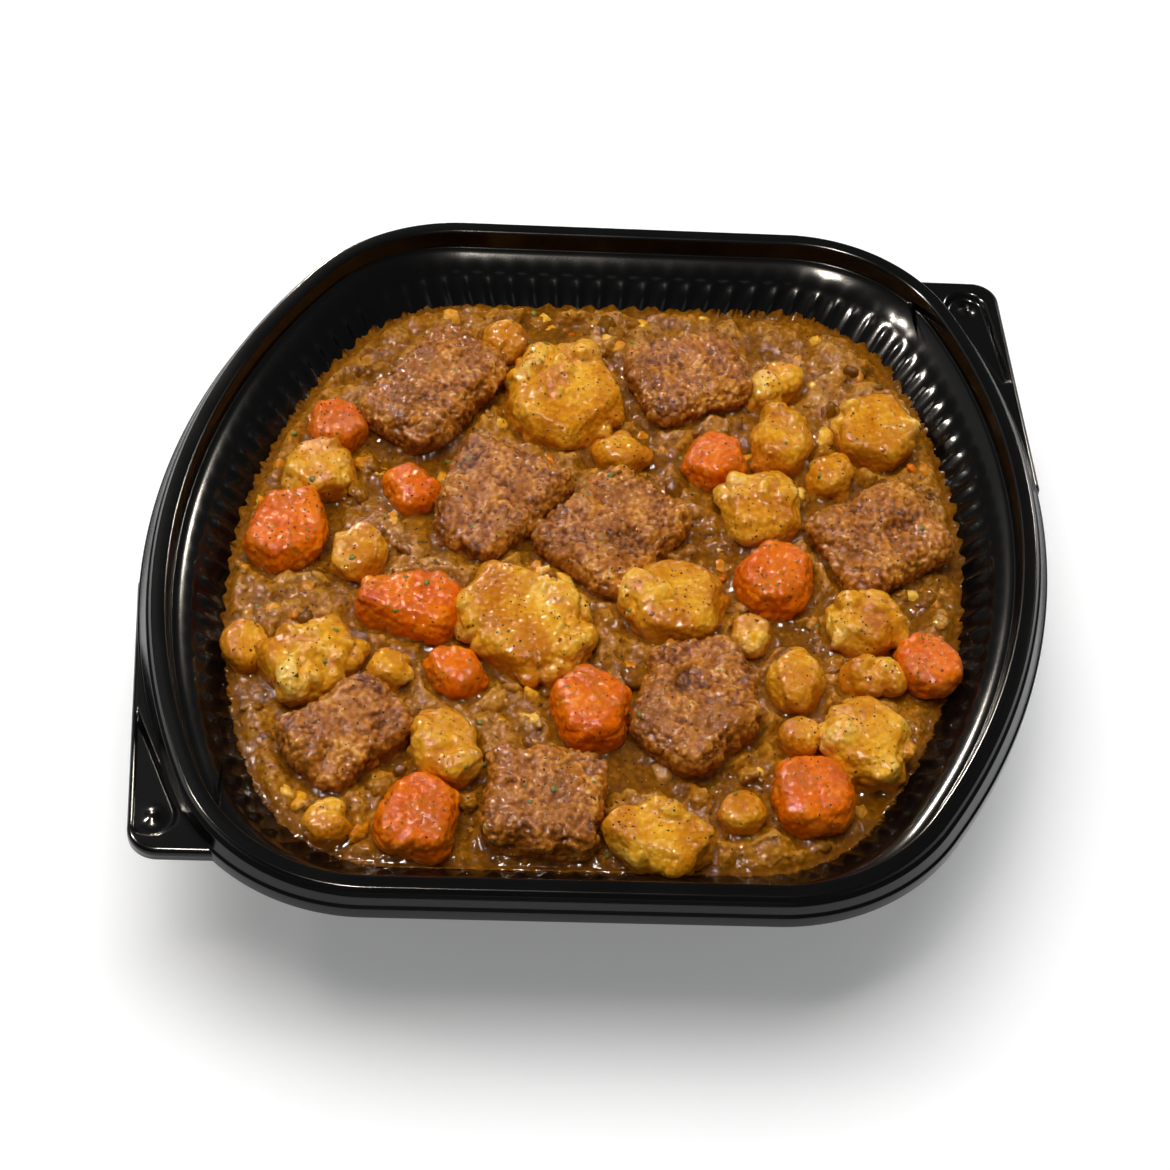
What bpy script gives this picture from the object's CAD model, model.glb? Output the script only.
"""Beef stew with carrots and potatoes in a black microwave tray: its looks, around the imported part."""

import random
from math import atan2, cos, exp, hypot, pi, radians, sin

import bmesh
import bpy
from mathutils import Matrix, Vector, noise
from mathutils.bvhtree import BVHTree


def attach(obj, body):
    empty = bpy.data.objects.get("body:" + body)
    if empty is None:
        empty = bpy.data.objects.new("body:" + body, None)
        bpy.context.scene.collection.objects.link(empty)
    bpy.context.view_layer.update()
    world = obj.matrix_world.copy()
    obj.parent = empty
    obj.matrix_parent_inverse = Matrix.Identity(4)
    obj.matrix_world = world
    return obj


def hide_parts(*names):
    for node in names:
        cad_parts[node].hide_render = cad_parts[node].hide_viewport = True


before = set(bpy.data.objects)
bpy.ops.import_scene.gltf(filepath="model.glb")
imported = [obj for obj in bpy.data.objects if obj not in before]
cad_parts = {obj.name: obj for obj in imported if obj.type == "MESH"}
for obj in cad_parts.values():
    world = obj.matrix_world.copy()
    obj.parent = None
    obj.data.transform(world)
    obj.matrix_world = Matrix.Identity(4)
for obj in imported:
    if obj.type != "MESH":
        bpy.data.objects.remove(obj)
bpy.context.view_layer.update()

MM = 0.001
random.seed(41)

# ---------------------------------------------------------------- sizes, in millimetres

# Half of the tray's plan, as arcs that meet tangentially: radius, first and last direction. The other half is
# the same, turned by 180 degrees.
END_STRAIGHT = 62.0
CORNER_ARCS = (
    (31.0, radians(90), radians(144)),
    (117.0, radians(144), radians(203)),
    (29.5, radians(203), radians(270)),
)
SHEET = 0.6
HEIGHT = 36.0
RIM_INSET = 2.2
FLANGE_FROM = 3.4
FLANGE_SPREAD = 1.012

# The upper face of the rim, from the ledge outwards: out from the rim's inner edge, and height.
RIM_PROFILE = (
    (-2.2, HEIGHT - 3.85),
    (-0.65, HEIGHT - 3.65),
    (-0.2, HEIGHT - 0.3),
    (0.25, HEIGHT),
    (2.3, HEIGHT),
    (2.75, HEIGHT - 0.8),
    (3.35, HEIGHT - 1.2),
    (3.45, HEIGHT - 3.2),
    (3.95, HEIGHT - 3.5),
    (4.05, HEIGHT - 5.7),
)
EDGE_ROUNDING = 0.22

# The inner face of the bowl, from the floor up: in from the rim's inner edge, and height.
BOWL_PROFILE = (
    (28.5, SHEET),
    (25.0, 1.6),
    (22.3, 4.6),
    (18.5, 10.7),
    (15.2, 16.0),
    (12.0, 20.2),
    (8.5, 24.7),
    (6.9, 26.4),
    (5.9, 27.5),
    (5.3, 28.1),
    (4.8, 28.6),
    (4.2, 29.25),
)
RIBS = 110
RIB_POINTS = 8
RIB_DEPTH = 0.6
RIB_BOTTOM = 5.0
RIB_FADE = 28.3
RIB_TOP = 29.25

# The two finger tabs: how far out each one's long edge lies at its near and far end.
TAB_REACH = {"right": (78.4, 77.0), "left": (78.0, 74.0)}
TAB_START = 14.0
TAB_END = 67.2
TAB_CORNER = 5.0
TAB_TOP = HEIGHT - 3.5
TAB_SKIRT = 2.2
TAB_ROUND = 0.9
TAB_SKIRT_OUT = 0.05
TAB_STEPS = 70
TAB_TURN_STEPS = 15
TAB_END_STEPS = 33
TAB_END_STEP = 0.85

GRAVY_EDGE = 24.7
GRAVY_DOME = 0.8
GRAVY_INSET = 8.15
GRAVY_STEP = 0.42
GRAVY_HALF = 66.0
GRAVY_GAP = 0.45

# How far round it the gravy looks for a chunk, and how far a chunk's surface stays from the wall.
NEAR_LIMIT = 3.0
WALL_CLEARANCE = 0.2

# The gravy's hidden side, down along the wall: in from the rim's inner edge, and height.
GRAVY_SIDE = ((8.9, 23.8), (15.2, 16.0), (22.3, 4.6), (25.0, 1.6), (28.5, SHEET))

KINDS = ("beef", "carrot", "potato")


# ---------------------------------------------------------------- helpers


def linear(hex_colour):
    """An sRGB hex colour as linear red, green, blue and alpha."""
    parts = [int(hex_colour[i:i + 2], 16) / 255 for i in (1, 3, 5)]
    return (*[p / 12.92 if p <= 0.04045 else ((p + 0.055) / 1.055) ** 2.4 for p in parts], 1.0)


def add_node(material, kind, inputs=None, links=None, **settings):
    """Adds a node with its settings, its fixed inputs and its links from other nodes' sockets."""
    tree = material.node_tree
    node = tree.nodes.new(kind)
    for key, value in settings.items():
        setattr(node, key, value)
    for key, value in (inputs or {}).items():
        node.inputs[key].default_value = value
    for key, socket in (links or {}).items():
        tree.links.new(socket, node.inputs[key])
    return node


def new_material(name):
    """An empty material, with its Principled shader."""
    material = bpy.data.materials.new(name)
    material.use_nodes = True
    return material, material.node_tree.nodes["Principled BSDF"]


def blend_colours(material, share, stops):
    """Colours along a ramp, read at `share`."""
    ramp = add_node(material, "ShaderNodeValToRGB", links={"Fac": share})
    while len(ramp.color_ramp.elements) < len(stops):
        ramp.color_ramp.elements.new(0.5)
    for element, (position, colour) in zip(ramp.color_ramp.elements, stops):
        element.position = position
        element.color = linear(colour)
    return ramp.outputs["Color"]


def scaled(point_mm):
    """A point in millimetres as one in metres."""
    return Vector(point_mm) * MM


def smoothstep(low, high, value):
    """0 up to `low`, 1 from `high`, with a smooth rise between them. `high` may be the lower of the two."""
    share = min(max((value - low) / (high - low), 0.0), 1.0)
    return share * share * (3 - 2 * share)


def waves(point, size, seed):
    """Smooth noise from about -1 to 1, with swellings about `size` millimetres apart."""
    return noise.noise(point / size + Vector((seed, seed * 1.7, seed * 0.6)))


def puffs(point, size, seed):
    """Rounded swellings with creases between them, from 0 to about 1."""
    return min(abs(waves(point, size, seed)) * 2.2, 1.0)


def beads(point, size, seed):
    """Round beads about `size` millimetres apart, from 0 between them to 1 at their tops."""
    shifted = point / size + Vector((seed, seed * 1.3, seed * 0.7))
    nearest = noise.voronoi(shifted)[0][0]
    return 1 - min(nearest / 0.75, 1.0) ** 2


def add_piece(name, bm, material, nodes=()):
    """An object from a bmesh in metres. It rides on the part's body, and stands for the CAD nodes named."""
    mesh = bpy.data.meshes.new(name)
    bm.to_mesh(mesh)
    bm.free()
    mesh.shade_smooth()
    piece = bpy.data.objects.new(name, mesh)
    bpy.context.scene.collection.objects.link(piece)
    mesh.materials.append(material)
    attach(piece, "root")
    if nodes:
        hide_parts(*nodes)
    return piece


# ---------------------------------------------------------------- materials


def make_tray_plastic():
    """Polypropylene sheet, black, thermoformed: satin, with a very fine grain left by the mould."""
    material, shader = new_material("black_thermoformed_polypropylene")
    place = add_node(material, "ShaderNodeTexCoord").outputs["Object"]
    cloud = add_node(material, "ShaderNodeTexNoise", {"Scale": 90.0, "Detail": 3.0}, {"Vector": place})
    sheen = add_node(material, "ShaderNodeMapRange", {"To Min": 0.12, "To Max": 0.20},
                     {"Value": cloud.outputs["Fac"]})
    grain = add_node(material, "ShaderNodeTexNoise", {"Scale": 2600.0, "Detail": 2.0}, {"Vector": place})
    bump = add_node(material, "ShaderNodeBump", {"Strength": 0.08, "Distance": 0.0001},
                    {"Height": grain.outputs["Fac"]})
    shader.inputs["Base Color"].default_value = linear("#050505")
    shader.inputs["IOR"].default_value = 1.49
    shader.inputs["Specular IOR Level"].default_value = 0.22
    tree = material.node_tree
    tree.links.new(sheen.outputs["Result"], shader.inputs["Roughness"])
    tree.links.new(bump.outputs["Normal"], shader.inputs["Normal"])
    return material


def make_food(name, stops, wet, radius, weight, grains, stain, smooth_pools=1.0):
    """Cooked food under a film of gravy: soft light from within, a wet surface and fine grains.

    `stops` are the colours from hollows to tops, `wet` the roughness from wet to dry, `radius` how far
    light spreads inside in millimetres, `weight` how much of it does, and `grains` the grains' size and depth
    in millimetres. `stain` is the colour that gravy leaves, which the piece's own attribute places, and
    `smooth_pools` is how grainy the hollows are.
    """
    material, shader = new_material(name)
    place = add_node(material, "ShaderNodeTexCoord").outputs["Object"]
    size, depth = grains
    cells = add_node(material, "ShaderNodeTexVoronoi", {"Scale": 1 / (size * MM), "Randomness": 1.0},
                     {"Vector": place}, feature="SMOOTH_F1")
    fine = add_node(material, "ShaderNodeTexNoise", {"Scale": 0.8 / (size * MM), "Detail": 4.0},
                    {"Vector": place})
    patches = add_node(material, "ShaderNodeTexNoise", {"Scale": 230.0, "Detail": 4.0, "Roughness": 0.6},
                       {"Vector": place})
    tops = add_node(material, "ShaderNodeAttribute", attribute_name="tops")
    mixed = add_node(material, "ShaderNodeMath", {1: 0.45}, {0: patches.outputs["Fac"]}, operation="MULTIPLY")
    share = add_node(material, "ShaderNodeMath", {1: 0.6},
                     {0: tops.outputs["Fac"], 2: mixed.outputs["Value"]}, operation="MULTIPLY_ADD")
    grainy = add_node(material, "ShaderNodeMath", {1: -0.42},
                      {0: cells.outputs["Distance"], 2: share.outputs["Value"]}, operation="MULTIPLY_ADD")
    specks = add_node(material, "ShaderNodeMath", {1: 0.45},
                      {0: fine.outputs["Fac"], 2: grainy.outputs["Value"]}, operation="MULTIPLY_ADD")
    level = add_node(material, "ShaderNodeMath", {1: 0.06}, {0: specks.outputs["Value"]},
                     operation="SUBTRACT")
    colour = blend_colours(material, level.outputs["Value"], stops)
    stained = add_node(material, "ShaderNodeAttribute", attribute_name="stain")
    coloured = add_node(material, "ShaderNodeMix", {"B": linear(stain)},
                        {"Factor": stained.outputs["Fac"], "A": colour}, data_type="RGBA")
    wetness = add_node(material, "ShaderNodeMapRange", {"From Min": 0.3, "From Max": 0.7,
                                                       "To Min": wet[0], "To Max": wet[1]},
                       {"Value": fine.outputs["Fac"]})
    height = add_node(material, "ShaderNodeMath", {1: -1.0},
                      {0: cells.outputs["Distance"], 2: fine.outputs["Fac"]}, operation="MULTIPLY_ADD")
    dryness = add_node(material, "ShaderNodeMapRange", {"From Min": 0.05, "From Max": 0.30,
                                                       "To Min": smooth_pools, "To Max": 1.0},
                       {"Value": tops.outputs["Fac"]})
    raised = add_node(material, "ShaderNodeMath", None,
                      {0: height.outputs["Value"], 1: dryness.outputs["Result"]}, operation="MULTIPLY")
    bump = add_node(material, "ShaderNodeBump", {"Strength": 1.0, "Distance": depth * MM},
                    {"Height": raised.outputs["Value"]})
    shader.inputs["IOR"].default_value = 1.36
    shader.inputs["Specular IOR Level"].default_value = 0.26
    shader.inputs["Subsurface Weight"].default_value = weight
    shader.inputs["Subsurface Radius"].default_value = [r * MM for r in radius]
    shader.inputs["Subsurface Scale"].default_value = 1.0
    tree = material.node_tree
    tree.links.new(coloured.outputs["Result"], shader.inputs["Base Color"])
    tree.links.new(wetness.outputs["Result"], shader.inputs["Roughness"])
    tree.links.new(bump.outputs["Normal"], shader.inputs["Normal"])
    return material


def make_flecks(name, colour, roughness):
    """Small dry bits in a wet film: one colour, a little uneven."""
    material, shader = new_material(name)
    place = add_node(material, "ShaderNodeTexCoord").outputs["Object"]
    cloud = add_node(material, "ShaderNodeTexNoise", {"Scale": 1500.0, "Detail": 2.0}, {"Vector": place})
    dark, light = colour
    shades = blend_colours(material, cloud.outputs["Fac"], ((0.35, dark), (0.65, light)))
    material.node_tree.links.new(shades, shader.inputs["Base Color"])
    shader.inputs["Roughness"].default_value = roughness
    shader.inputs["Specular IOR Level"].default_value = 0.1
    return material


# ---------------------------------------------------------------- tray


def rim_edge(count):
    """Evenly spaced points along the rim's inner edge, each with its outward normal, in millimetres."""
    arcs = [(None, END_STRAIGHT, radians(90), radians(90))]
    start = Vector((-END_STRAIGHT, 0.0))
    for radius, first, last in CORNER_ARCS:
        centre = start - radius * Vector((cos(first), sin(first)))
        arcs.append((centre, radius * (last - first), first, last))
        start = centre + radius * Vector((cos(last), sin(last)))
    middle = start / 2
    length = sum(arc[1] for arc in arcs)
    half = []
    for i in range(count // 2):
        along = length * i / (count // 2)
        for centre, span, first, last in arcs:
            if along <= span:
                break
            along -= span
        turn = first + (last - first) * along / span
        normal = Vector((cos(turn), sin(turn)))
        if centre is None:
            point = Vector((-along, 0.0))
        else:
            point = centre + normal * span / (last - first)
        half.append((point - middle, normal))
    return half + [(-point, -normal) for point, normal in half]


def outline(edge, out):
    """The edge moved out by `out`. Inside the ledge it is scaled instead, so that its corners stay round."""
    if out > -RIM_INSET - SHEET:
        spread = FLANGE_SPREAD if out > FLANGE_FROM else 1.0
        moved = [point + normal * out for point, normal in edge]
        return [Vector((point.x * spread, point.y)) for point in moved]
    ledge = [point - normal * RIM_INSET for point, normal in edge]
    reach = max(point.x for point in ledge)
    return [point * (1 + (out + RIM_INSET) / reach) for point in ledge]


def rounded(profile, radius, steps=3):
    """The profile with each inner corner turned into a small curve."""
    points = [Vector(profile[0])]
    for before, corner, after in zip(profile, profile[1:], profile[2:]):
        before, corner, after = Vector(before), Vector(corner), Vector(after)
        first = corner + (before - corner).normalized() * min(radius, (before - corner).length * 0.45)
        last = corner + (after - corner).normalized() * min(radius, (after - corner).length * 0.45)
        for step in range(steps + 1):
            share = step / steps
            points.append(first.lerp(corner, share).lerp(corner.lerp(last, share), share))
    points.append(Vector(profile[-1]))
    return points


def under_side(profile):
    """A profile moved by the sheet's thickness, down and inwards."""
    moved = []
    for i, point in enumerate(profile):
        before = profile[max(i - 1, 0)]
        after = profile[min(i + 1, len(profile) - 1)]
        way = (Vector(after) - Vector(before)).normalized()
        moved.append(Vector(point) + Vector((way.y, -way.x)) * SHEET)
    return moved


def loft(bm, loops):
    """A closed body through loops of points: each loop's edges are extruded and moved to the next."""
    verts = [bm.verts.new(point) for point in loops[0]]
    edges = [bm.edges.new((verts[i - 1], verts[i])) for i in range(len(verts))]
    first = edges
    for loop in loops[1:]:
        made = bmesh.ops.extrude_edge_only(bm, edges=edges)["geom"]
        fresh = {item for item in made if isinstance(item, bmesh.types.BMVert)}
        risen = []
        for vert, point in zip(verts, loop):
            above = next(edge.other_vert(vert) for edge in vert.link_edges if edge.other_vert(vert) in fresh)
            above.co = point
            risen.append(above)
        verts = risen
        edges = [item for item in made if isinstance(item, bmesh.types.BMEdge)]
    bmesh.ops.edgeloop_fill(bm, edges=first)
    bmesh.ops.edgeloop_fill(bm, edges=edges)


def rib(index, height):
    """How far a rib stands in from the wall: narrow ridges that fade out towards their ends."""
    phase = 2 * pi * index / RIB_POINTS
    ridge = (0.5 + 0.5 * cos(phase)) ** 2
    length = 0.7 + 0.3 * noise.noise(Vector((index * 0.09, 0.0, 0.0)))
    fade = smoothstep(RIB_TOP, RIB_TOP - (RIB_TOP - RIB_FADE) / length, height)
    under_gravy = 0.25 + 0.75 * smoothstep(GRAVY_EDGE - 0.4, GRAVY_EDGE + 1.2, height)
    return RIB_DEPTH * ridge * smoothstep(RIB_BOTTOM, RIB_BOTTOM + 4, height) * fade * under_gravy


def make_tray(material):
    """The bowl, with its ribbed wall, and the stepped rim, as one formed sheet."""
    edge = rim_edge(RIBS * RIB_POINTS)
    bowl = [(-inset, height) for inset, height in BOWL_PROFILE]
    upper = bowl + rounded(RIM_PROFILE, EDGE_ROUNDING)
    lower = under_side(bowl + list(RIM_PROFILE))
    lower[0].y = 0.0
    loops = []
    for profile in (upper, list(reversed(lower))):
        for out, height in profile:
            points = outline(edge, out)
            loop = []
            for i, point in enumerate(points):
                shifted = point - edge[i][1] * rib(i, height) if out < -RIM_INSET else point
                loop.append(scaled((shifted.x, shifted.y, height)))
            loops.append(loop)
    bm = bmesh.new()
    loft(bm, loops)
    bmesh.ops.recalc_face_normals(bm, faces=bm.faces)
    tray = add_piece("tray_body", bm, material, ["tray"])
    tray.data.set_sharp_from_angle(angle=radians(60))
    return tray


def tab_recess(point, side):
    """How deep the tab's pressed hollow is: a long drop, round near the corner, with a small stud in it."""
    wide = Vector((side * 70.4, side * 60.2))
    narrow = Vector((side * 75.6, side * 41.0))
    along = narrow - wide
    share = min(max((point - wide).dot(along) / along.length_squared, 0.0), 1.0)
    width = 3.7 * (1 - share) + 0.7 * share
    gap = (point - wide - along * share).length - width
    depth = 1.3 * smoothstep(0.35, -0.45, gap)
    dimple = 0.7 * exp(-((point - wide) / 1.25).length_squared)
    return depth - dimple


def make_tab(name, side, reaches, material):
    """A finger tab: a plate from the rim's riser to its own outer edge, with a rounded edge and a skirt."""
    near, far = reaches
    inner = [point + normal * (FLANGE_FROM - 0.1) for point, normal in rim_edge(1600)]
    corner = Vector((far - TAB_CORNER, TAB_END - TAB_CORNER))
    route = []
    for i in range(TAB_STEPS):
        share = i / TAB_STEPS
        route.append((Vector((near + (far - near) * share, TAB_START + (corner.y - TAB_START) * share)),
                      Vector((1.0, 0.0))))
    for i in range(TAB_TURN_STEPS + 1):
        turn = radians(90) * i / TAB_TURN_STEPS
        way = Vector((cos(turn), sin(turn)))
        route.append((corner + way * TAB_CORNER, way))
    for i in range(1, TAB_END_STEPS + 1):
        route.append((Vector((corner.x - i * TAB_END_STEP, TAB_END)), Vector((0.0, 1.0))))
    centre = Vector((36.0, 36.0))
    bm = bmesh.new()
    rows = []
    for outer, way in route:
        outer, way = outer * side, way * side
        best = min(inner, key=lambda p: abs((p - centre * side).angle_signed(outer - centre * side)))
        if (outer - centre * side).length < (best - centre * side).length + 0.3:
            continue
        row = []
        for step in range(33):
            point = best.lerp(outer - way * TAB_ROUND, step / 32)
            row.append((point, TAB_TOP - tab_recess(point, side)))
        for step in range(1, 7):
            turn = radians(90) * step / 6
            row.append((outer - way * (TAB_ROUND - TAB_ROUND * sin(turn)),
                        TAB_TOP - TAB_ROUND + TAB_ROUND * cos(turn)))
        row.append((outer + way * TAB_SKIRT_OUT, TAB_TOP - TAB_SKIRT))
        rows.append(row)
    verts = [bm.verts.new(scaled((point.x, point.y, height))) for point, height in rows[0]]
    edges = [bm.edges.new(pair) for pair in zip(verts, verts[1:])]
    for row in rows[1:]:
        made = bmesh.ops.extrude_edge_only(bm, edges=edges)["geom"]
        fresh = {item for item in made if isinstance(item, bmesh.types.BMVert)}
        risen = []
        for vert, (point, height) in zip(verts, row):
            beside = next(item.other_vert(vert) for item in vert.link_edges if item.other_vert(vert) in fresh)
            beside.co = scaled((point.x, point.y, height))
            risen.append(beside)
        verts = risen
        edges = [item for item in made if isinstance(item, bmesh.types.BMEdge)
                 and all(vert in fresh for vert in item.verts)]
    bmesh.ops.recalc_face_normals(bm, faces=bm.faces)
    up = sum((face.normal.z * face.calc_area() for face in bm.faces), 0.0)
    if up < 0:
        bmesh.ops.reverse_faces(bm, faces=bm.faces)
    bmesh.ops.solidify(bm, geom=bm.faces[:], thickness=SHEET * MM)
    bmesh.ops.recalc_face_normals(bm, faces=bm.faces)
    return add_piece(name, bm, material)


# ---------------------------------------------------------------- chunks


def beef_relief(point, normal, grain, seed):
    """Coarse cooked meat: beads in clusters, faint bundles of fibre along `grain`, and a few hollows."""
    along = point.dot(grain)
    across = point - grain * along
    fibres = puffs(across + grain * along * 0.35, 2.6, seed)
    grains = beads(point, 0.85, seed)
    clusters = beads(point, 2.0, seed + 6)
    hollow = smoothstep(0.15, 0.55, waves(point, 5.0, seed + 3))
    height = 0.7 * waves(point, 6.0, seed) + 0.28 * fibres + 0.45 * grains + 0.45 * clusters - 0.8 * hollow
    return height, 0.10 + 0.50 * grains + 0.20 * clusters + 0.35 * waves(point, 4.5, seed + 8) - 0.25 * hollow


def carrot_relief(point, normal, grain, seed):
    """Cooked carrot: a soft skin with shallow wrinkles and fine pimples."""
    wrinkles = puffs(point, 2.0, seed)
    pimples = beads(point, 1.1, seed)
    height = 0.35 * waves(point, 5.0, seed) + 0.26 * wrinkles + 0.26 * pimples
    return height, 0.38 + 0.55 * waves(point, 4.0, seed + 5) + 0.30 * pimples


def potato_relief(point, normal, grain, seed):
    """Cooked potato: smooth where the cut face is whole, and lumpy where it has crumbled."""
    crumbled = smoothstep(-0.12, 0.22, waves(point, 9.0, seed + 13) + 0.15 * (0.6 - normal.z))
    lumps = puffs(point, 4.6, seed)
    crumbs = beads(point, 2.3, seed + 2)
    height = 0.5 * waves(point, 7.0, seed) + crumbled * (1.5 * lumps + 0.75 * crumbs - 0.5)
    height += 0.22 * beads(point, 1.1, seed) * (0.5 + 0.5 * crumbled)
    shade = 0.36 + 0.25 * lumps * crumbled + 0.65 * waves(point, 6.0, seed + 4) + 0.15 * crumbs * crumbled
    return height, shade


def cut_faces(bm, count, keep):
    """Presses flat faces into a rounded lump, as a knife leaves them: a tilted top, then upright sides."""
    middle = sum((vert.co for vert in bm.verts), Vector()) / len(bm.verts)
    turn = random.uniform(0, 2 * pi)
    for i in range(count):
        if i == 0:
            rise, share = random.uniform(1.25, 1.5), keep + 0.06
        else:
            rise, share = random.uniform(0.05, 0.45), keep
            turn += 2 * pi / (count - 1) * random.uniform(0.8, 1.2)
        way = Vector((cos(turn) * cos(rise), sin(turn) * cos(rise), sin(rise)))
        limit = max((vert.co - middle).dot(way) for vert in bm.verts) * share
        for vert in bm.verts:
            excess = (vert.co - middle).dot(way) - limit
            if excess > 0:
                vert.co -= way * excess * 0.92


# For each kind: relief, size of the mesh's cells, rounds of smoothing, growth, how high gravy stains it, and
# the count of its cut faces and how near its middle they lie.
CHUNKS = {
    "beef": (beef_relief, 0.36, 1, 0.45, 1.6, (1, 0.78)),
    "carrot": (carrot_relief, 0.36, 2, 1.10, 1.0, (6, 0.82)),
    "potato": (potato_relief, 0.37, 2, 0.90, 1.9, (5, 0.85)),
}


def bowl_inset(height):
    """How far the bowl's inner face lies in from the rim's inner edge, at this height."""
    for (low_inset, low), (high_inset, high) in zip(BOWL_PROFILE, BOWL_PROFILE[1:]):
        if height <= high:
            share = max((height - low) / (high - low), 0.0)
            return low_inset + (high_inset - low_inset) * share
    return BOWL_PROFILE[-1][0]


def remeshed(node, cell, rounds):
    """A copy of a CAD piece, merged, remeshed evenly and rounded, in millimetres."""
    bm = bmesh.new()
    bm.from_mesh(node.data)
    bmesh.ops.remove_doubles(bm, verts=bm.verts, dist=0.00001)
    bmesh.ops.scale(bm, vec=(1 / MM, 1 / MM, 1 / MM), verts=bm.verts)
    mesh = bpy.data.meshes.new("rough")
    bm.to_mesh(mesh)
    bm.free()
    rough = bpy.data.objects.new("rough", mesh)
    bpy.context.scene.collection.objects.link(rough)
    remesh = rough.modifiers.new("cells", "REMESH")
    remesh.mode = "VOXEL"
    remesh.voxel_size = cell
    remesh.use_smooth_shade = True
    smooth = rough.modifiers.new("rounded", "SMOOTH")
    smooth.factor = 0.5
    smooth.iterations = rounds
    graph = bpy.context.evaluated_depsgraph_get()
    bm = bmesh.new()
    bm.from_object(rough, graph)
    bpy.data.objects.remove(rough)
    bpy.data.meshes.remove(mesh)
    return bm


def make_chunk(name, seed, material, ledge):
    """One piece of meat or vegetable, from its CAD solid."""
    kind = name.split("_")[0]
    relief, cell, rounds, growth, stain_height, cuts = CHUNKS[kind]
    bm = remeshed(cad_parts[name], cell, rounds)
    cut_faces(bm, *cuts)
    bm.normal_update()
    turn = random.uniform(0, pi)
    grain = Vector((cos(turn), sin(turn), random.uniform(-0.25, 0.25))).normalized()
    tops = bm.verts.layers.float.new("tops")
    stain = bm.verts.layers.float.new("stain")
    normals = [vert.normal.copy() for vert in bm.verts]
    for vert, normal in zip(bm.verts, normals):
        point = vert.co.copy()
        height, top = relief(point, normal, grain, seed * 3.7)
        moved = point + normal * (height + growth)
        room = reach_at(ledge, moved.x, moved.y)
        room *= 1 - (bowl_inset(moved.z) - RIM_INSET) / max(ledge[0], ledge[len(ledge) // 2])
        if moved.xy.length > room - WALL_CLEARANCE:
            moved.xy *= (room - WALL_CLEARANCE) / moved.xy.length
        vert.co = moved
        vert[tops] = min(max(top, 0.0), 1.0)
        above = point.z - GRAVY_EDGE - 0.8
        reach = stain_height * (1 + 0.9 * waves(point, 5.0, seed + 9))
        patch = smoothstep(0.10, 0.45, waves(point, 5.0, seed + 21) + 0.4 * waves(point, 1.6, seed + 22))
        vert[stain] = min(1.0, 0.9 * smoothstep(reach + 1.0, reach - 1.2, above) + 0.55 * patch)
    bmesh.ops.scale(bm, vec=(MM, MM, MM), verts=bm.verts)
    return add_piece(name + "_cooked", bm, material, [name])


# ---------------------------------------------------------------- gravy


def radius_table(points, count=720):
    """How far out the outline lies in each of `count` directions."""
    angles = sorted((atan2(point.y, point.x) % (2 * pi), point.length) for point in points)
    table = []
    place = 0
    for i in range(count):
        angle = 2 * pi * i / count
        while place < len(angles) - 1 and angles[place][0] < angle:
            place += 1
        table.append(angles[place][1])
    return table


def reach_at(table, x, y):
    """The outline's distance from the middle, in the direction of this point."""
    place = (atan2(y, x) % (2 * pi)) / (2 * pi) * len(table)
    low = int(place) % len(table)
    share = place - int(place)
    return table[low] * (1 - share) + table[(low + 1) % len(table)] * share


def gravy_relief(x, y, share, near, wall):
    """Height and lumpiness of the gravy's surface, by its distance to the nearest chunk and to the wall."""
    flat = Vector((x, y, 0.0))
    swirl = Vector((waves(flat, 3.0, 31.0), waves(flat, 3.0, 32.0), 0.0)) * 0.9
    bent = flat + swirl
    mounds = beads(bent, 6.5, 2.0)
    lumps = beads(bent, 3.4, 5.0)
    grains = puffs(bent, 1.9, 7.0)
    specks = beads(bent, 1.0, 9.0)
    thick = smoothstep(-0.42, -0.02, waves(flat, 9.0, 11.0) + 0.45 * waves(flat, 3.5, 12.0))
    thick *= 0.25 + 0.75 * smoothstep(0.3, 1.8, near)
    level = GRAVY_EDGE + GRAVY_DOME * (1 - share ** 2) - 0.3 + 0.25 * waves(flat, 7.0, 1.0)
    rise = thick * (1.9 * mounds + 1.1 * lumps + 0.40 * grains + 0.30 * specks - 0.3)
    rise += (1 - thick) * (0.30 * lumps + 0.10 * grains + 0.10 * specks - 0.35)
    rise += 0.75 * exp(-near / 0.6)
    lumpy = thick * (0.10 + 0.34 * mounds + 0.34 * lumps + 0.14 * grains + 0.12 * specks)
    lumpy += (1 - thick) * 0.16 * lumps
    return level + rise * smoothstep(0.0, 2.5, wall), lumpy * smoothstep(0.2, 2.0, wall)


def waterline(x, y):
    """How high the gravy reaches up the wall here: uneven, with drops that cling to it."""
    flat = Vector((x, y, 0.0))
    return 24.9 + 0.5 * waves(flat, 9.0, 41.0) + 0.45 * waves(flat, 2.6, 42.0) + 0.5 * beads(flat, 1.6, 43.0)


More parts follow.
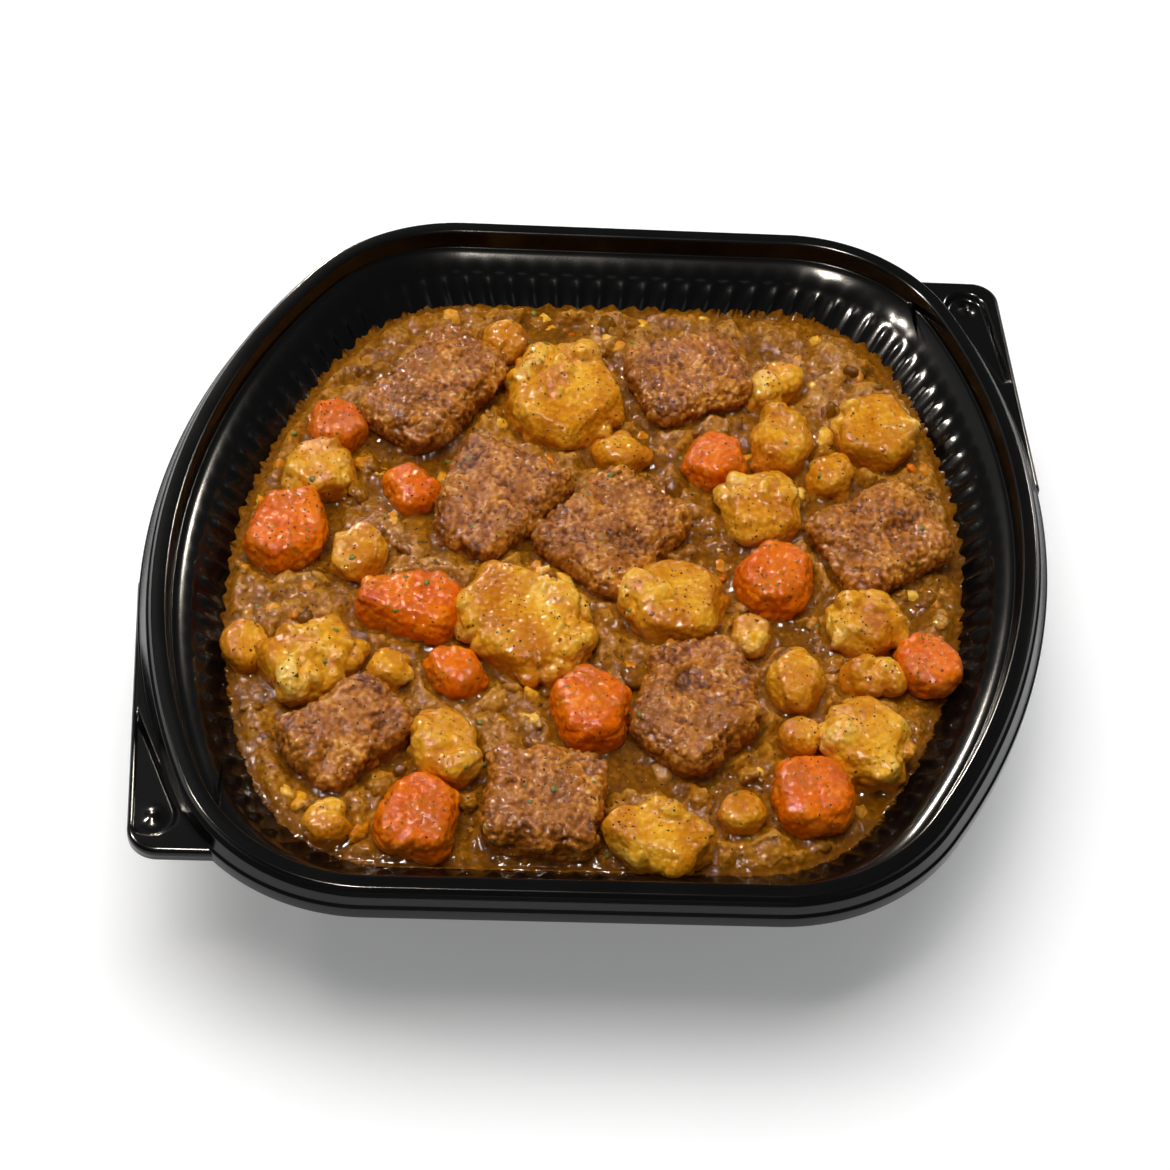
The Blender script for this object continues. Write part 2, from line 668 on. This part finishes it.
def make_gravy(material, chunks, ledge):
    """The gravy: a lumpy surface that fills the bowl round the chunks and clings to every edge."""
    ledge_reach = max(ledge[0], ledge[len(ledge) // 2])
    inner = GRAVY_INSET + 0.75
    graph = bpy.context.evaluated_depsgraph_get()
    trees = [BVHTree.FromObject(chunk, graph) for chunk in chunks]
    boxes = [([min(v[i] for v in chunk.bound_box) for i in range(2)],
              [max(v[i] for v in chunk.bound_box) for i in range(2)]) for chunk in chunks]
    cells = int(2 * GRAVY_HALF / GRAVY_STEP)
    bm = bmesh.new()
    bmesh.ops.create_grid(bm, x_segments=cells, y_segments=cells, size=GRAVY_HALF)

    def reach_of(x, y, inset):
        return reach_at(ledge, x, y) * (1 - (inset - RIM_INSET) / ledge_reach)

    shares = {vert: vert.co.xy.length / reach_of(vert.co.x, vert.co.y, inner) for vert in bm.verts}
    away = [face for face in bm.faces if all(shares[vert] > 1 for vert in face.verts)]
    bmesh.ops.delete(bm, geom=away, context="FACES")
    tops = bm.verts.layers.float.new("tops")
    stain = bm.verts.layers.float.new("stain")
    margin = NEAR_LIMIT * MM
    for vert in bm.verts:
        x, y = vert.co.x, vert.co.y
        reach = reach_of(x, y, inner)
        share = hypot(x, y) / reach
        vert[stain] = 0.0
        if share > 1:
            height = waterline(x, y)
            scale = reach_of(x, y, bowl_inset(height) - 0.05) / hypot(x, y)
            vert.co = (x * scale, y * scale, height)
            vert[tops] = 0.0
            continue
        near = NEAR_LIMIT
        query = Vector((x, y, GRAVY_EDGE + 1.2)) * MM
        for tree, (low, high) in zip(trees, boxes):
            if low[0] - margin < query.x < high[0] + margin and low[1] - margin < query.y < high[1] + margin:
                found = tree.find_nearest(query, near * MM)
                if found[0] is not None:
                    near = min(near, found[3] / MM)
        height, lumpy = gravy_relief(x, y, share, near, (1 - share) * reach)
        vert.co = (x, y, height)
        vert[tops] = lumpy
    rim = [item for item in bm.edges if len(item.link_faces) == 1]
    for inset, height in GRAVY_SIDE:
        made = bmesh.ops.extrude_edge_only(bm, edges=rim)["geom"]
        for vert in [item for item in made if isinstance(item, bmesh.types.BMVert)]:
            x, y = vert.co.x, vert.co.y
            scale = reach_of(x, y, inset + GRAVY_GAP) / hypot(x, y)
            vert.co = (x * scale, y * scale, height + 0.3)
        rim = [item for item in made if isinstance(item, bmesh.types.BMEdge)]
    bmesh.ops.edgeloop_fill(bm, edges=rim)
    bmesh.ops.recalc_face_normals(bm, faces=bm.faces)
    bmesh.ops.scale(bm, vec=(MM, MM, MM), verts=bm.verts)
    return add_piece("gravy_surface", bm, material, ["gravy"])


# ---------------------------------------------------------------- small bits, one joined piece of each kind


def scatter(name, count, sizes, material, surfaces, flat=1.0, detail=1, sink=0.3, inside=0.97,
            rough=0.25):
    """Small rounded bits on the surfaces, each a tree and whether bits stay where it is uppermost.

    `sizes` is in millimetres, `flat` their height against their width, and `sink` how deep they sit.
    """
    edge = rim_edge(400)
    table = radius_table(outline(edge, -GRAVY_INSET))
    seed_shape = bmesh.new()
    bmesh.ops.create_icosphere(seed_shape, subdivisions=detail, radius=0.5)
    template = bpy.data.meshes.new("bit")
    seed_shape.to_mesh(template)
    seed_shape.free()
    bm = bmesh.new()
    tops = bm.verts.layers.float.new("tops")
    stain = bm.verts.layers.float.new("stain")
    placed = 0
    while placed < count:
        angle = random.uniform(0, 2 * pi)
        share = random.uniform(0, 1) ** 0.5 * inside
        direction = Vector((cos(angle), sin(angle)))
        room = reach_at(table, direction.x, direction.y)
        spot = direction * min(room * share, room - 0.8 * sizes[1])
        best = None
        for tree, only in surfaces:
            hit, normal, _, _ = tree.ray_cast(Vector((spot.x, spot.y, 60.0)) * MM, Vector((0, 0, -1)))
            if hit is not None and (best is None or hit.z > best[0].z):
                best = (hit, normal, only)
        if best is None or not best[2]:
            placed += 1
            continue
        hit, normal, _ = best
        size = random.uniform(*sizes) * MM
        before = len(bm.verts)
        bm.from_mesh(template)
        bm.verts.ensure_lookup_table()
        fresh = bm.verts[before:]
        turn = normal.to_track_quat("Z", "Y").to_matrix().to_4x4()
        spin = Matrix.Rotation(random.uniform(0, 2 * pi), 4, "Z")
        stretch = Matrix.Diagonal((size * random.uniform(0.7, 1.4), size * random.uniform(0.7, 1.1),
                                   size * flat, 1.0))
        place = Matrix.Translation(hit - normal * size * flat * sink) @ turn @ spin @ stretch
        shade = random.random()
        for vert in fresh:
            vert.co = place @ (vert.co * (1 + rough * waves(vert.co, 0.45, placed * 0.37)))
            vert[tops] = shade
            vert[stain] = 0.0
        placed += 1
    bpy.data.meshes.remove(template)
    return add_piece(name, bm, material)


# ---------------------------------------------------------------- build


def main():
    """The materials, the tray, the chunks, the gravy round them, the small bits, and the stage."""
    plastic = make_tray_plastic()
    beef = make_food(
        "braised_beef_coarse_grained",
        ((0.15, "#582a04"), (0.38, "#9a5614"), (0.60, "#c67a22"), (0.86, "#eab050")),
        (0.06, 0.15), (1.0, 0.45, 0.25), 0.08, (0.85, 0.34), "#9a5816")
    carrot = make_food(
        "cooked_carrot_glossy",
        ((0.10, "#bc4802"), (0.40, "#e06400"), (0.70, "#ee7802"), (0.95, "#f89c2a")),
        (0.05, 0.13), (2.0, 0.8, 0.2), 0.12, (0.95, 0.30), "#c4660a")
    potato = make_food(
        "cooked_potato_soft",
        ((0.10, "#b86406"), (0.35, "#d4850f"), (0.62, "#eba826"), (0.90, "#f9ce68")),
        (0.06, 0.14), (2.4, 1.3, 0.5), 0.16, (0.90, 0.28), "#c6730e")
    gravy = make_food(
        "thick_brown_gravy",
        ((0.12, "#663a04"), (0.32, "#804c07"), (0.52, "#9c600d"), (0.82, "#c68a30")),
        (0.05, 0.14), (1.8, 0.9, 0.3), 0.12, (0.90, 0.32), "#8a5518", 0.12)
    pepper = make_flecks("ground_black_pepper", ("#1c140c", "#40301c"), 0.7)
    herbs = make_flecks("dried_green_herbs", ("#6b6a1c", "#8a8636"), 0.7)

    make_tray(plastic)
    for name, side in (("right", 1), ("left", -1)):
        make_tab("tray_tab_" + name, side, TAB_REACH[name], plastic)

    cooked = {"beef": beef, "carrot": carrot, "potato": potato}
    ledge = radius_table(outline(rim_edge(RIBS * RIB_POINTS), -RIM_INSET))
    chunks = []
    names = [name for name in sorted(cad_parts) if name.split("_")[0] in KINDS]
    for seed, name in enumerate(names):
        chunks.append(make_chunk(name, seed + 1, cooked[name.split("_")[0]], ledge))
    surface = make_gravy(gravy, chunks, ledge)

    graph = bpy.context.evaluated_depsgraph_get()
    on_gravy = [(BVHTree.FromObject(surface, graph), True)]
    on_gravy += [(BVHTree.FromObject(chunk, graph), False) for chunk in chunks]
    anywhere = [(tree, True) for tree, _ in on_gravy]
    scatter("mush_lumps", 420, (1.6, 4.6), gravy, on_gravy, flat=0.6, detail=2, rough=0.7, sink=0.3)
    scatter("gravy_grains", 4200, (0.6, 1.3), gravy, anywhere, flat=0.6, detail=1, sink=0.4)
    scatter("potato_crumbs", 170, (1.4, 4.2), potato, on_gravy, flat=0.6, detail=2, rough=0.7,
            sink=0.3)
    scatter("carrot_crumbs", 30, (1.2, 3.2), carrot, on_gravy, flat=0.5, detail=2, rough=0.7,
            sink=0.35)
    scatter("pepper_flecks", 2600, (0.22, 0.5), pepper, anywhere, flat=0.5, detail=1, sink=0.1)
    scatter("herb_flecks", 110, (0.6, 1.4), herbs, anywhere, flat=0.25, detail=1, sink=0.0)

    make_stage()


# ---------------------------------------------------------------- floor, light and camera

FLOOR_SIZE = 6.0
LIGHT_AIM = Vector((0, 0, 0.02))
AIM = Vector((-3.34, -14.82, 36.0)) * MM
ELEVATION = radians(50.1)
YAW = radians(4.32)
ROLL = radians(5.04)
DISTANCE = 377.3 * MM
LENS = 69.45

# Small lights that only show as glints: place in metres, and power in watts.
GLINTS = (
    ((-0.75, 0.15, 0.75), 22.0),
    ((-0.15, -0.20, 1.05), 22.0),
    ((0.70, 0.75, 0.65), 7.0),
    ((-0.35, 1.10, 0.50), 16.0),
)


def add_area_light(name, place, size, power, colour="#ffffff"):
    """A soft rectangular light that points at the middle of the food."""
    data = bpy.data.lights.new(name, "AREA")
    data.shape = "RECTANGLE"
    data.size, data.size_y = size
    data.energy = power
    data.color = linear(colour)[:3]
    light = bpy.data.objects.new(name, data)
    light.location = place
    light.rotation_euler = (LIGHT_AIM - Vector(place)).to_track_quat("-Z", "Y").to_euler()
    bpy.context.scene.collection.objects.link(light)
    return light


def make_stage():
    """White paper underneath, a soft key from above, gloss-only lights, and the camera."""
    bpy.context.scene.view_settings.view_transform = "Standard"
    bm = bmesh.new()
    bmesh.ops.create_grid(bm, x_segments=1, y_segments=1, size=FLOOR_SIZE / 2)
    mesh = bpy.data.meshes.new("floor")
    bm.to_mesh(mesh)
    bm.free()
    floor = bpy.data.objects.new("floor", mesh)
    bpy.context.scene.collection.objects.link(floor)
    paper, shader = new_material("white_paper")
    shader.inputs["Base Color"].default_value = linear("#f4f4f4")
    shader.inputs["Roughness"].default_value = 0.9
    shader.inputs["Emission Color"].default_value = linear("#ffffff")
    shader.inputs["Emission Strength"].default_value = 0.20
    mesh.materials.append(paper)

    world = bpy.data.worlds.new("studio")
    world.use_nodes = True
    world.node_tree.nodes["Background"].inputs["Color"].default_value = linear("#eef1f5")
    world.node_tree.nodes["Background"].inputs["Strength"].default_value = 0.17
    bpy.context.scene.world = world
    key = add_area_light("key_softbox", (-0.12, 0.22, 1.05), (1.00, 0.90), 12.6)
    key.visible_glossy = False
    sheen = add_area_light("sheen_softbox", (-0.60, 0.68, 0.90), (0.62, 0.75), 0.6)
    sheen.visible_diffuse = False
    for index, (place, power) in enumerate(GLINTS):
        glint = add_area_light(f"glint_{index + 1}", place, (0.08, 0.08), power, "#fff4e6")
        glint.visible_diffuse = False
    strip = add_area_light("front_strip", (0.0, -0.85, 0.66), (0.50, 0.08), 0.14)
    strip.visible_diffuse = False

    camera = bpy.data.objects.new("camera", bpy.data.cameras.new("camera"))
    camera.data.lens = LENS
    camera.data.sensor_width = 36.0
    camera.data.clip_start = 0.01
    way = Vector((sin(YAW) * cos(ELEVATION), cos(YAW) * cos(ELEVATION), -sin(ELEVATION)))
    turn = way.to_track_quat("-Z", "Y").to_matrix().to_4x4()
    camera.matrix_world = Matrix.Translation(AIM - way * DISTANCE) @ turn @ Matrix.Rotation(ROLL, 4, "Z")
    bpy.context.scene.collection.objects.link(camera)
    bpy.context.scene.camera = camera


main()
